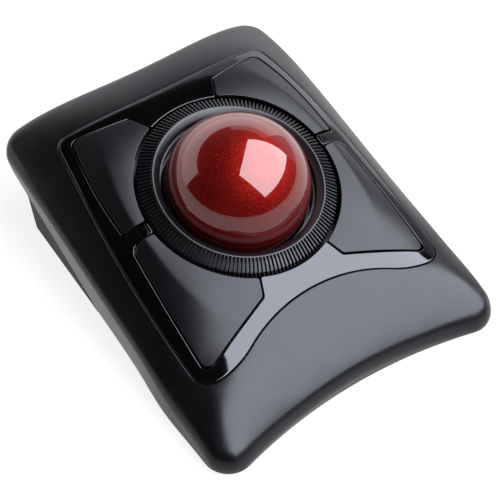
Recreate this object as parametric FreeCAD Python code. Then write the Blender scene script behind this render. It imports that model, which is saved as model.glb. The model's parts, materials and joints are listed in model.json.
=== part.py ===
import FreeCAD, Part
import math
import os
from FreeCAD import Placement, Rotation, Vector

# Wireless trackball with a large ball in a scroll ring and four buttons.
# Millimetres. +Z up, +Y away from the user, +X to the user's right.
# The origin is under the middle of the body, on the surface it stands on.

# ---- driving dimensions -------------------------------------------------
ball_radius = 27.5
ball_y = 7.0
ball_z = 37.5
ring_tilt = 11.3            # the ring and the buttons lean towards the user

foot_height = 1.0           # the rubber feet hold the casing off the table
floor_thickness = 2.0
floor_top = foot_height + floor_thickness
wall = 2.2                  # casing walls
skin = 2.4                  # centre plate and button skins
seam_gap = 0.35             # visible gap round the centre plate
button_gap = 0.6            # visible gap round each button
split_gap = 0.3             # between the top shell's skirt and the base
lip_height = 1.8            # the base's edge rises this far inside the skirt
edge_round = 5.0            # rounding where the crown turns into the sides

ring_outer = 38.0
ring_hole = 39.0            # the hole in the plate and the buttons' inner arc
ring_crest = 32.6           # top of the smooth land, where the teeth begin
ring_lip = 29.5             # opening that the ball lifts out through
ring_bore = 30.6
ring_seat = -4.5            # underside of the ring, along its axis
tooth_count = 150
tooth_slot = 0.75
tooth_depth = 1.1

cup_inner = 28.9
cup_outer = 30.7
frame_top = -13.0           # inner frame, along the ring axis from the ball's centre
frame_thickness = 2.0
bearing_radius = 1.5
bearing_droop = 45.0        # how far below the ball's equator the bearings sit
ball_clearance = 0.06

pivot_depth = 7.0           # the buttons' pivots below the ball centre's plane
lower_pivot = -5.0
upper_pivot = 7.0
knuckle_radius = 1.5

cell_radius = 7.15          # AA cell
cell_length = 50.0
cell_z = 10.4
cell_back_y = 50.8
cell_front_y = 36.0

parts = {}


# ---- frames of reference ------------------------------------------------
ring_frame = Placement(Vector(0, ball_y, ball_z), Rotation(Vector(1, 0, 0), ring_tilt))


def tilted(shape):
    """Moves a shape drawn about the ball's centre into the ring's leaning frame."""
    moved = shape.copy()
    moved.Placement = ring_frame.multiply(moved.Placement)
    return moved


def box(x0, x1, y0, y1, z0, z1):
    return Part.makeBox(x1 - x0, y1 - y0, z1 - z0, Vector(x0, y0, z0))


def rod(radius, x, y, z0, z1):
    return Part.makeCylinder(radius, z1 - z0, Vector(x, y, z0))


def tube(outer, inner, z0, z1):
    return rod(outer, 0, 0, z0, z1).cut(rod(inner, 0, 0, z0, z1))


def mirrored(shape):
    return shape.mirror(Vector(0, 0, 0), Vector(1, 0, 0))


def prism(wire, low, high):
    """A flat outline drawn at zero, raised from low to high."""
    base = Part.Face(wire)
    base.translate(Vector(0, 0, low))
    return base.extrude(Vector(0, 0, high - low))


def rounded(solid, radius, points):
    """Rounds the upright edges that stand nearest the given corner points."""
    upright = [e for e in solid.Edges if abs(e.tangentAt(e.FirstParameter).z) > 0.99]
    chosen = []
    for x, y in points:
        chosen.append(min(upright, key=lambda e: math.hypot(e.CenterOfMass.x - x, e.CenterOfMass.y - y)))
    return solid.makeFillet(radius, chosen)


def lowest_wire(solid):
    flat = [f for f in solid.Faces if abs(f.normalAt(0, 0).z) > 0.99]
    return min(flat, key=lambda f: f.CenterOfMass.z).OuterWire


# ---- the crown: one smooth surface over the whole top -------------------
def crown_height(x, y):
    """A long arch from front to back, rolling off towards both sides."""
    across = x / 60.0
    along = (y - ball_y) / 70.0
    spine = 41.0 + 14.5 * along - 9.6 * along**2 - 2.0 * along**3 - 4.4 * along**4
    roll_off = 15.6 + 1.6 * along - 9.8 * along**2
    return spine - roll_off * across**4


def below_crown(depth):
    """Everything that lies deeper than depth under the crown."""
    grid = []
    for i in range(13):
        x = -72.0 + 12.0 * i
        grid.append([Vector(x, -92.0 + 12.0 * j, crown_height(x, -92.0 + 12.0 * j) - depth) for j in range(16)])
    surface = Part.BSplineSurface()
    surface.interpolate(grid)
    return surface.toShape().extrude(Vector(0, 0, -100))


def skin_of(block, top, bottom):
    """The layer of a block between two depths under the crown."""
    return block.common(below_crown(top)).cut(below_crown(bottom))


# ---- the body's outline -------------------------------------------------
corner_back = 8.5
corner_front = 9.5
# half width at back, middle and front, then back edge, its middle, front edge, its middle
skirt_at_table = (55.6, 61.4, 66.3, 62.0, 56.6, -80.8, -70.2)
skirt_at_50 = (63.6, 68.2, 69.2, 92.4, 82.2, -84.8, -74.2)
base_at_table = (56.9, 61.1, 65.2, 63.0, 59.8, -79.0, -69.0)
base_at_50 = (59.8, 65.0, 68.0, 78.0, 74.2, -83.0, -73.0)


def outline(z, inset, half_back, half_middle, half_front, back, back_middle, front, front_middle):
    """Plan of the body at one height: waisted sides, hollow front, softly rounded corners."""
    middle = (back + front) / 2
    hb, hm, hf = half_back - inset, half_middle - inset, half_front - inset
    back_edge, front_edge = back - inset, front + inset
    back_left, back_right = Vector(-hb, back_edge, z), Vector(hb, back_edge, z)
    front_left, front_right = Vector(-hf, front_edge, z), Vector(hf, front_edge, z)
    edges = [
        Part.Arc(back_left, Vector(0, back_middle - inset, z), back_right),
        Part.Arc(back_right, Vector(hm, middle, z), front_right),
        Part.Arc(front_right, Vector(0, front_middle + inset, z), front_left),
        Part.Arc(front_left, Vector(-hm, middle, z), back_left),
    ]
    slab = Part.Face(Part.Wire([e.toShape() for e in edges])).extrude(Vector(0, 0, 5))
    slab = rounded(slab, corner_back - inset, [(-hb, back_edge), (hb, back_edge)])
    slab = rounded(slab, corner_front - inset, [(-hf, front_edge), (hf, front_edge)])
    return lowest_wire(slab)


def body_block(inset, depth):
    """The top shell's flared sides, closed by the crown at the given depth."""
    low = outline(0.0, inset, *skirt_at_table)
    high = outline(50.0, inset, *skirt_at_50)
    return Part.makeLoft([low, high], True, True).common(below_crown(depth))


def base_block(inset, depth):
    """The base's steeper sides, which stand inside the skirt."""
    low = outline(0.0, inset, *base_at_table)
    high = outline(50.0, inset, *base_at_50)
    return Part.makeLoft([low, high], True, True).common(below_crown(depth))


def rounded_body():
    block = body_block(0, 0).Solids[0]
    crown = max([f for f in block.Faces if f.CenterOfMass.z > 20], key=lambda f: f.Area)
    return block.makeFillet(edge_round, crown.Edges)


def below_split(rise):
    """Under the line where the top shell's skirt ends and the base begins."""
    start, slope, far = 8.0, 0.391, 90.0
    points = [
        Vector(-80, start, foot_height + rise),
        Vector(-80, far, foot_height + rise + slope * (far - start)),
        Vector(-80, far, -5),
        Vector(-80, start, -5),
    ]
    return Part.Face(Part.makePolygon(points + points[:1])).extrude(Vector(160, 0, 0))


# ---- outlines on the crown, drawn in the ring's frame -------------------
def plate_prism(inset, low, high):
    """The centre plate: straight back, bowed sides, and an arch round the front of the ring."""
    back_x, back_y = 46.9 - inset, 51.3 - inset
    side_x = 54.4 - inset
    front_x, front_y = 55.4 - inset, -60.6 + inset
    arch_x, arch_y = 33.0, -56.6 + inset * 0.87
    blend_x = 46.5
    arch_top = -48.4 + inset
    right = [
        Part.Arc(Vector(back_x, back_y, 0), Vector(side_x, -3, 0), Vector(front_x, front_y, 0)),
        Part.LineSegment(Vector(front_x, front_y, 0), Vector(blend_x, front_y, 0)),
        Part.Arc(Vector(blend_x, front_y, 0), Vector(39.5, front_y + 1.4, 0), Vector(arch_x, arch_y, 0)),
    ]
    right = [e.toShape() for e in right]
    arch = Part.Arc(Vector(arch_x, arch_y, 0), Vector(0, arch_top, 0), Vector(-arch_x, arch_y, 0)).toShape()
    left = [mirrored(e) for e in right]
    back = Part.Arc(Vector(-back_x, back_y, 0), Vector(0, back_y - 1.6, 0), Vector(back_x, back_y, 0)).toShape()
    wire = Part.Wire(Part.sortEdges(right + [arch] + left + [back])[0])
    solid = prism(wire, low, high)
    solid = rounded(solid, max(5.0 - inset, 1.5), [(-back_x, back_y), (back_x, back_y)])
    return rounded(solid, max(7.0 - inset, 2.0), [(-front_x, front_y), (front_x, front_y)])


def on_ring(radius, angle):
    return Vector(radius * math.cos(math.radians(angle)), radius * math.sin(math.radians(angle)), 0)


def grown_corner(before, corner, after, grow):
    """The corner of an outline that runs clockwise, once its two sides have moved out by grow."""
    normals = []
    for start, stop in ((before, corner), (corner, after)):
        along = stop.sub(start).normalize()
        normals.append(Vector(-along.y, along.x, 0))
    both = normals[0].add(normals[1])
    return corner.add(both.multiply(grow / (1 + normals[0].dot(normals[1]))))


def button_prism(place, grow, low, high):
    """One right-hand button: an arc along the ring and a long outer side."""
    arc = ring_hole - grow
    if place == "lower":
        near, far = on_ring(arc, -2.6), on_ring(arc, -66.8)
        corners = [Vector(48.2, -1.9, 0), Vector(51.0, -55.8, 0), Vector(18.3, -43.0, 0)]
        radii = [4.0, 2.6, 2.2]
        bow = Vector(50.1 + grow, -28.0, 0)
    else:
        near, far = on_ring(arc, 67.6), on_ring(arc, 5.4)
        corners = [Vector(19.4, 44.0, 0), Vector(42.3, 47.4, 0), Vector(47.9, 3.7, 0)]
        radii = [2.0, 2.6, 1.2]
        bow = Vector(46.7 + grow, 27.0, 0)
    path = [near] + corners + [far]
    grown = [grown_corner(path[i], path[i + 1], path[i + 2], grow) for i in range(3)]
    half_angle = math.radians(-34.7 if place == "lower" else 36.5)
    arc_middle = Vector(arc * math.cos(half_angle), arc * math.sin(half_angle), 0)
    first, second, third = grown
    if place == "lower":
        near = near.add(Vector(0, grow, 0))
        far = far.add(Vector(-grow, 0, 0))
        side = [Part.Arc(first, bow, second), Part.LineSegment(second, third)]
    else:
        near = near.add(Vector(-grow, 0, 0))
        far = far.add(Vector(0, -grow, 0))
        side = [Part.LineSegment(first, second), Part.Arc(second, bow, third)]
    edges = [Part.LineSegment(near, first)] + side
    edges += [Part.LineSegment(third, far), Part.Arc(far, arc_middle, near)]
    solid = prism(Part.Wire([e.toShape() for e in edges]), low, high)
    for corner, radius in zip(grown, radii):
        solid = rounded(solid, radius, [(corner.x, corner.y)])
    return solid


# ---- casing -------------------------------------------------------------
case_posts = [(-54.0, -59.0), (54.0, -59.0), (-48.5, 56.0), (48.5, 56.0)]
frame_bosses = [(-40.0, -39.0), (40.0, -39.0), (-42.5, 41.0), (42.5, 41.0)]
screw_radius = 1.4
screw_hole = 1.5


def make_top_shell():
    shell = rounded_body().cut(body_block(wall, wall + 0.3))
    shell = shell.cut(box(-80, 80, -90, 90, -5, foot_height))
    shell = shell.cut(below_split(0))
    shell = shell.cut(tilted(plate_prism(0, -40, 40)))
    ledge = tilted(plate_prism(-1.5, -40, 40)).cut(tilted(plate_prism(2.6, -41, 41)))
    shell = shell.fuse(skin_of(ledge, skin + 0.1, skin + 1.5))
    for x, y in case_posts:
        post = rod(3.2, x, y, floor_top, 60).cut(rod(screw_hole, x, y, 0, floor_top + 9))
        shell = shell.fuse(post.common(below_crown(1.5)))
    return shell.cut(tilted(plate_prism(0, -40, 40)).common(below_crown(-20)).cut(below_crown(skin + 0.1)))


def make_base_shell():
    floor = body_block(wall + split_gap, 3).common(box(-80, 80, -90, 90, foot_height, floor_top))
    outer = base_block(0, 3).common(below_split(-split_gap)).common(box(-80, 80, -90, 90, foot_height, 60))
    hollow = base_block(2.8, 3).common(box(-80, 80, -90, 90, floor_top, 60))
    inside = body_block(wall + split_gap, 3)
    rim = inside.common(below_split(lip_height)).cut(below_split(-split_gap))
    rim = rim.common(box(-80, 80, -90, 90, floor_top, 60)).cut(base_block(2.8, 3))
    lip = inside.common(box(-80, 80, -90, 30, floor_top, floor_top + lip_height))
    lip = lip.cut(body_block(wall + split_gap + 1.3, 4))
    base = floor.fuse(outer.cut(hollow)).fuse(lip).fuse(rim)
    for x, y in frame_bosses:
        boss = rod(3.4, x, y, floor_top - 0.5, 60)
        base = base.fuse(boss.cut(tilted(box(-80, 80, -90, 90, frame_top - frame_thickness, 90))))
    for x, y in board_posts:
        base = base.fuse(rod(2.4, x, y, floor_top - 0.5, board_z))
    dock = box(dock_x - 9.2, dock_x + 9.2, dock_y - 11.4, dock_y + 11.4, floor_top - 0.5, board_z - 0.4)
    base = base.fuse(dock)
    base = base.cut(dock_space(0.25, 0))
    base = base.cut(box(dock_x - 4, dock_x + 4, dock_y - 14.4, dock_y - 9, 0, 1.9))
    for x, y in case_posts:
        base = base.cut(rod(3.4, x, y, floor_top, 60))
        base = base.cut(rod(1.7, x, y, 0, floor_top + 1))
        base = base.cut(rod(3.1, x, y, 0, foot_height + 1.2))
    for x, y in frame_bosses:
        base = base.cut(rod(screw_hole - 0.2, x, y, 5, 60))
    for x, y in board_posts:
        base = base.cut(rod(0.9, x, y, 4, 20))
    base = base.cut(door_space())
    base = base.cut(box(slider_x - 3.7, slider_x + 3.7, slider_y - 2.2, slider_y + 2.2, 0, floor_top + 0.1))
    base = base.cut(box(slider_x - 6.5, slider_x + 6.5, slider_y - 4.2, slider_y + 4.2, 0, foot_height + 0.7))
    base = base.cut(rod(2.6, pairing_x, pairing_y, 0, floor_top + 1))
    return base.cut(rod(4.5, pairing_x, pairing_y, 0, foot_height + 0.5))


# ---- centre plate and buttons -------------------------------------------
rib_angles = (1.4, 90.0, 178.6, 270.0)


def make_centre_plate():
    plate = skin_of(tilted(plate_prism(seam_gap, -40, 40)), 0, skin)
    collar = tilted(tube(ring_hole + 2.0, ring_hole + 0.4, -6.5, 20)).common(below_crown(1.0))
    plate = plate.fuse(collar)
    plate = plate.cut(tilted(rod(ring_hole, 0, 0, -40, 40)))
    for angle in rib_angles:
        rib = box(ring_hole + 0.4, ring_hole + 3.4, -1.3, 1.3, frame_top, 20)
        rib.rotate(Vector(0, 0, 0), Vector(0, 0, 1), angle)
        plate = plate.fuse(tilted(rib).common(below_crown(1.0)))
    for place in ("lower", "upper"):
        window = tilted(button_prism(place, button_gap / 2, -40, 40)).cut(below_crown(9.0))
        plate = plate.cut(window).cut(mirrored(window))
    return plate


switch_spots = {"lower": (33.0, -42.0), "upper": (31.0, 37.5)}
switch_top = -6.5
plunger_top = -5.6
pivot_u = 44.0
knuckle_half = 2.2
cradle_half = 3.7
trunnion_radius = 0.55


def pivot_rod(pivot, radius, half_length):
    start = Vector(pivot_u - half_length, pivot, -pivot_depth)
    return tilted(Part.makeCylinder(radius, 2 * half_length, start, Vector(1, 0, 0)))


def make_button(place):
    pivot = lower_pivot if place == "lower" else upper_pivot
    block = button_prism(place, -button_gap / 2, -40, 40)
    cap = skin_of(tilted(block), 0, 2.2)
    lining = block.cut(button_prism(place, -button_gap / 2 - 1.2, -41, 41))
    cap = cap.fuse(skin_of(tilted(lining), 1.0, 2.8))
    web = box(pivot_u - knuckle_half, pivot_u + knuckle_half, pivot - 0.8, pivot + 0.8, -pivot_depth, 20)
    cap = cap.fuse(tilted(web).common(below_crown(1.0)))
    cap = cap.fuse(pivot_rod(pivot, knuckle_radius, knuckle_half))
    cap = cap.fuse(pivot_rod(pivot, trunnion_radius, cradle_half - 0.1))
    u, v = switch_spots[place]
    actuator = rod(1.6, u, v, plunger_top + 0.05, 20)
    return cap.fuse(tilted(actuator).common(below_crown(1.0)))


def make_switch(place):
    u, v = switch_spots[place]
    body = box(u - 6.4, u + 6.4, v - 2.9, v + 2.9, frame_top, switch_top)
    body = body.cut(box(u - 1.35, u + 1.35, v - 0.85, v + 0.85, plunger_foot - 1.0, switch_top + 1))
    for offset in (-5.0, 0.0, 5.0):
        body = body.fuse(box(u + offset - 0.3, u + offset + 0.3, v - 0.4, v + 0.4, frame_top - 3.2, frame_top))
    return tilted(body)


plunger_foot = switch_top - 2.0


def make_plunger(place):
    u, v = switch_spots[place]
    return tilted(box(u - 1.25, u + 1.25, v - 0.75, v + 0.75, plunger_foot, plunger_top))


# ---- scroll ring --------------------------------------------------------
def ring_profile():
    corners = [
        (ring_lip, 0.7), (ring_bore, -0.2), (ring_bore, ring_seat), (36.6, ring_seat),
        (36.6, -2.0), (ring_outer, -2.0), (ring_outer, 0.9), (ring_crest, 3.85),
        (ring_crest - 0.5, 3.85), (ring_lip, 2.2),
    ]
    points = [Vector(r, 0, t) for r, t in corners]
    face = Part.Face(Part.makePolygon(points + points[:1]))
    return face.revolve(Vector(0, 0, 0), Vector(0, 0, 1), 360)


def make_scroll_ring():
    slots = []
    slope = math.degrees(math.atan2(3.85 - 0.9, ring_outer - ring_crest))
    for i in range(tooth_count):
        slot = Part.makeBox(8, tooth_slot, 3, Vector(0.3, -tooth_slot / 2, -tooth_depth))
        slot.rotate(Vector(0, 0, 0), Vector(0, 1, 0), slope)
        slot.translate(Vector(ring_crest, 0, 3.85))
        slot.rotate(Vector(0, 0, 0), Vector(0, 0, 1), 360.0 * i / tooth_count)
        slots.append(slot)
    return tilted(ring_profile().cut(Part.makeCompound(slots)))


band_inner, band_outer, band_low = 37.0, 37.7, -9.6


def make_encoder_band():
    band = tube(band_outer, band_inner, band_low, -2.0)
    slots = []
    slot_count = 48
    for i in range(slot_count):
        slot = box(band_inner - 1, band_outer + 1, -0.9, 0.9, band_low + 1.2, band_low + 4.2)
        slot.rotate(Vector(0, 0, 0), Vector(0, 0, 1), 360.0 * i / slot_count)
        slots.append(slot)
    return tilted(band.cut(Part.makeCompound(slots)))


def make_ring_guide():
    collar = tube(ring_bore - 0.08, cup_inner, -6.2, -0.4)
    return tilted(collar.fuse(tube(36.4, cup_inner, -6.2, ring_seat - 0.1)))


def make_scroll_sensor():
    body = box(38.5, 42.5, -4.0, 4.0, frame_top, -7.0)
    body = body.cut(box(38.4, 39.3, -2.4, 2.4, -10.2, -8.0))
    body.rotate(Vector(0, 0, 0), Vector(0, 0, 1), 135)
    return tilted(body)


# ---- ball and its cup ---------------------------------------------------
layer_gap = 0.1
core_radius = 20.0
body_radius = 25.0


def ball_layer(outer, inner):
    centre = Vector(0, ball_y, ball_z)
    layer = Part.makeSphere(outer, centre, Vector(0, 0, 1))
    return layer.cut(Part.makeSphere(inner, centre, Vector(0, 0, 1))) if inner else layer


bearing_angles = (90.0, 210.0, 330.0)


def bearing_centre(angle, distance):
    droop = math.radians(bearing_droop)
    spot = on_ring(distance * math.cos(droop), angle)
    return Vector(spot.x, spot.y, -distance * math.sin(droop))


def bearing_pod(angle, grow):
    inner, outer = bearing_centre(angle, cup_inner + 0.9), bearing_centre(angle, cup_outer + 1.4 + grow)
    reach = outer.sub(inner)
    return Part.makeCylinder(2.8 + grow, reach.Length, inner, reach)


def make_ball_cup():
    bowl = Part.makeSphere(cup_outer)
    bowl = bowl.cut(rod(60, 0, 0, -8.2, 60))
    bowl = bowl.fuse(rod(36.4, 0, 0, -8.2, -6.2))
    bowl = bowl.fuse(tube(36.4, 34.4, frame_top, -8.2))
    for angle in bearing_angles:
        bowl = bowl.fuse(bearing_pod(angle, 0))
    bowl = bowl.cut(Part.makeSphere(cup_inner))
    for angle in bearing_angles:
        seat = bearing_centre(angle, ball_radius + bearing_radius + ball_clearance)
        bowl = bowl.cut(Part.makeSphere(bearing_radius + 0.01, seat))
    bowl = tilted(bowl)
    return bowl.cut(rod(4.2, 0, ball_y, 0, ball_z))


def make_bearing(angle):
    centre = bearing_centre(angle, ball_radius + bearing_radius + ball_clearance)
    return tilted(Part.makeSphere(bearing_radius, centre))


def make_inner_frame():
    low = frame_top - frame_thickness
    frame = plate_prism(4.4, low, frame_top)
    frame = frame.cut(rod(33.4, 0, 0, -60, 60))
    for place, pivot in (("lower", lower_pivot), ("upper", upper_pivot)):
        cradle = box(pivot_u - cradle_half, pivot_u + cradle_half, pivot - 2.8, pivot + 2.8, low, -pivot_depth + 1.1)
        slot_half = knuckle_half + 0.3
        cradle = cradle.cut(box(pivot_u - slot_half, pivot_u + slot_half, pivot - 4, pivot + 4, -pivot_depth - 1.9, 20))
        frame = frame.fuse(cradle).fuse(mirrored(cradle))
        u, v = switch_spots[place]
        for offset in (-5.0, 0.0, 5.0):
            hole = box(u + offset - 0.5, u + offset + 0.5, v - 0.6, v + 0.6, -60, 60)
            frame = frame.cut(hole).cut(mirrored(hole))
    frame = tilted(frame)
    for pivot in (lower_pivot, upper_pivot):
        bore = pivot_rod(pivot, trunnion_radius + 0.05, cradle_half + 0.3)
        frame = frame.cut(bore).cut(mirrored(bore))
    for x, y in frame_bosses:
        frame = frame.cut(rod(screw_hole, x, y, 0, 60))
    return frame


# ---- electronics --------------------------------------------------------
board_z = 8.0
board_thickness = 1.6
board_posts = [(-30.0, -47.0), (30.0, -47.0), (-30.0, 20.0), (30.0, 20.0)]
sensor_board_z = 3.6


def make_main_board():
    board = box(-34, 34, -51, 25, board_z, board_z + board_thickness)
    board = board.cut(rod(17, 0, ball_y, 0, 30))
    for x, y in board_posts:
        board = board.cut(rod(1.1, x, y, 0, 30))
    return board


def make_sensor_board():
    return box(-11, 11, ball_y - 9, ball_y + 9, sensor_board_z, sensor_board_z + 1.0)


def make_optical_sensor():
    chip = box(-5, 5, ball_y - 5.5, ball_y + 5.5, sensor_board_z + 1.0, 6.3)
    return chip.cut(rod(1.2, 0, ball_y, 5.6, 7))


def make_sensor_lens():
    lens = rod(4.1, 0, ball_y, 6.5, 8.0)
    return lens.cut(rod(2.4, 0, ball_y, 7.4, 9))


def make_controller_chip():
    top = board_z + board_thickness
    return box(-4.5, 4.5, -40.5, -31.5, top, top + 1.1)


# ---- batteries ----------------------------------------------------------
door_x, door_front, door_back = 29.5, 29.0, 70.0


def door_space():
    opening = box(-door_x - 0.3, door_x + 0.3, door_front - 0.3, door_back, 0, floor_top + 0.1)
    rails = box(-door_x - 1.5, door_x + 1.5, door_front + 2.0, door_back, foot_height + 0.7, foot_height + 1.6)
    return opening.fuse(rails)


def make_battery_door():
    panel = box(-door_x, door_x, door_front, door_back, foot_height + 0.1, floor_top - 0.1)
    tongue = box(-door_x - 1.2, door_x + 1.2, door_front + 2.4, 58, foot_height + 0.85, foot_height + 1.45)
    panel = panel.fuse(tongue).common(base_block(0, 3))
    for i in range(5):
        y = 34.0 + 1.6 * i
        panel = panel.cut(box(-8, 8, y, y + 0.8, 0, foot_height + 0.6))
    return panel


tray_x = 31.5


def make_battery_tray():
    low, high = floor_top + 0.05, cell_z + cell_radius + 1.7
    front, back = cell_front_y - cell_radius - 1.7, cell_back_y + cell_radius + 1.7
    tray = box(-tray_x, tray_x, front, back, low, high)
    for y in (cell_front_y, cell_back_y):
        trough = Part.makeCylinder(cell_radius + 0.25, 2 * tray_x - 3, Vector(-tray_x + 1.5, y, cell_z), Vector(1, 0, 0))
        tray = tray.cut(trough)
        tray = tray.cut(box(-tray_x + 1.5, tray_x - 1.5, y - cell_radius - 0.25, y + cell_radius + 0.25, 0, cell_z))
    tray = tray.cut(Part.makeSphere(cup_outer + 0.4, Vector(0, ball_y, ball_z)))
    tray = tray.cut(tilted(bearing_pod(90.0, 0.4)))
    return tray.common(base_block(3.1, 4))


def make_cell(y, positive_side):
    start = -cell_length / 2
    body = Part.makeCylinder(cell_radius, cell_length - 1.2, Vector(start, y, cell_z), Vector(1, 0, 0))
    nub = Part.makeCylinder(2.7, 1.2, Vector(start + cell_length - 1.2, y, cell_z), Vector(1, 0, 0))
    cell = body.fuse(nub)
    return cell if positive_side > 0 else mirrored(cell)


def make_contact_plate(y, side):
    plate = box(0, 0.4, y - 4.5, y + 4.5, cell_z - 5, cell_z + 5)
    plate.translate(Vector(tray_x - 2.0, 0, 0))
    bump = rod(3.0, 0, 0, 0, tray_x - 2.0 - cell_length / 2 - 0.05)
    bump.rotate(Vector(0, 0, 0), Vector(0, 1, 0), 90)
    bump.translate(Vector(cell_length / 2 + 0.05, y, cell_z))
    plate = plate.fuse(bump)
    return plate if side > 0 else mirrored(plate)


def make_contact_spring(y, side):
    """A leaf: a plate on the tray's end wall, folded back into a bowed tongue that meets the cell."""
    leaf, wall_x, reach = 0.3, tray_x - 1.6, tray_x - cell_length / 2 - 1.7
    outside = [(0, 4.5), (0, -4.0), (-reach, 0.6), (-0.6, 3.2)]
    inside = [(-0.6 - leaf, 2.8), (-reach + 0.35, 0.6), (-leaf, -3.4), (-leaf, 4.5)]
    points = [Vector(wall_x + x, y - 3.0, cell_z + z) for x, z in outside + inside]
    tongue = Part.Face(Part.makePolygon(points + points[:1])).extrude(Vector(0, 6.0, 0))
    return tongue if side > 0 else mirrored(tongue)


# ---- underside controls and receiver ------------------------------------
slider_x, slider_y, slider_travel = 20.0, -34.0, 2.4
pairing_x, pairing_y, pairing_travel = 20.0, -18.0, 0.6
dock_x, dock_y = -18.0, -30.0


def make_power_switch():
    body = box(slider_x - 5.0, slider_x + 5.0, slider_y - 2.4, slider_y + 2.4, 4.6, board_z)
    return body.cut(box(slider_x - 4.2, slider_x + 4.2, slider_y - 1.2, slider_y + 1.2, 4.5, 6.4))


def make_power_slider():
    x = slider_x - slider_travel / 2
    knob = box(x - 2.2, x + 2.2, slider_y - 1.9, slider_y + 1.9, foot_height + 0.3, floor_top + 0.6)
    for i in range(3):
        ridge = x - 1.4 + 1.2 * i
        knob = knob.cut(box(ridge, ridge + 0.4, slider_y - 3, slider_y + 3, 0, foot_height + 0.7))
    return knob.fuse(box(x - 0.9, x + 0.9, slider_y - 0.9, slider_y + 0.9, floor_top, 6.2))


def make_pairing_button():
    cap = rod(2.3, pairing_x, pairing_y, foot_height + 0.3, 5.2)
    return cap.fuse(rod(3.4, pairing_x, pairing_y, floor_top + 0.1, floor_top + 0.9))


def make_pairing_switch():
    body = box(pairing_x - 3, pairing_x + 3, pairing_y - 3, pairing_y + 3, 6.0, board_z)
    return body


def dock_space(grow, extra):
    low_x, high_x = dock_x - 7.2 - grow, dock_x + 7.2 + grow
    low_y, high_y = dock_y - 9.4 - grow, dock_y + 9.4 + grow
    return box(low_x, high_x, low_y, high_y, extra - 1, 7.3)


def make_receiver_cap():
    cap = box(dock_x - 7.2, dock_x + 7.2, dock_y - 9.4, dock_y - 3.2, foot_height + 0.4, 7.0)
    upright = [e for e in cap.Edges if abs(e.tangentAt(e.FirstParameter).x) > 0.99 and e.CenterOfMass.y < dock_y - 9]
    return cap.makeFillet(1.4, upright)


def make_receiver_plug():
    plug = box(dock_x - 6.0, dock_x + 6.0, dock_y - 3.2, dock_y + 9.2, 1.9, 6.4)
    plug = plug.cut(box(dock_x - 5.6, dock_x + 5.6, dock_y - 2.6, dock_y + 10, 4.4, 6.0))
    for side in (-1, 1):
        x = dock_x + side * 2.9
        plug = plug.cut(box(x - 1.0, x + 1.0, dock_y + 3.2, dock_y + 5.2, 0, 2.4))
    return plug


# ---- feet and fasteners -------------------------------------------------
feet = {
    "foot_front_left": (-47.0, -46.0), "foot_front_right": (47.0, -46.0), "foot_front": (0.0, -58.0),
    "foot_back_left": (-43.5, 43.5), "foot_back_right": (43.5, 43.5),
}


def make_foot(x, y):
    pad = rod(6.0, x, y, 0, foot_height)
    return pad.makeChamfer(0.3, [e for e in pad.Edges if e.BoundBox.ZMax < 0.01])


def pan_screw(x, y, head_low, head_radius, shaft_radius, shaft_low, shaft_high, head_height=1.1):
    head = rod(head_radius, x, y, head_low, head_low + head_height)
    return head.fuse(rod(shaft_radius, x, y, shaft_low, shaft_high))


def make_case_screws():
    screws = []
    for x, y in case_posts:
        head_low = foot_height + 0.1
        screw = pan_screw(x, y, head_low, 2.8, screw_radius, head_low + 0.5, floor_top + 7)
        slot = box(x - 1.6, x + 1.6, y - 0.3, y + 0.3, 0, head_low + 0.6)
        cross = box(x - 0.3, x + 0.3, y - 1.6, y + 1.6, 0, head_low + 0.6)
        screws.append(screw.cut(slot).cut(cross))
    return Part.makeCompound(screws)


def make_board_screws():
    top = board_z + board_thickness
    return Part.makeCompound([pan_screw(x, y, top, 2.0, 0.85, 4.5, top + 0.5) for x, y in board_posts])


def make_frame_screws():
    """Each screw stands upright, so its head sits in a levelled washer on the leaning frame."""
    screws = []
    for x, y in frame_bosses:
        rise = math.tan(math.radians(ring_tilt))
        height = ball_z + (frame_top / math.cos(math.radians(ring_tilt))) + (y - ball_y) * rise
        seat = rod(3.0, x, y, height - 3, height + 1.2).cut(tilted(box(-80, 80, -90, 90, -60, frame_top)))
        screws.append(seat.fuse(pan_screw(x, y, height + 1.2, 2.6, 1.25, height - 9, height + 1.5)))
    return Part.makeCompound(screws)


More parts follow.
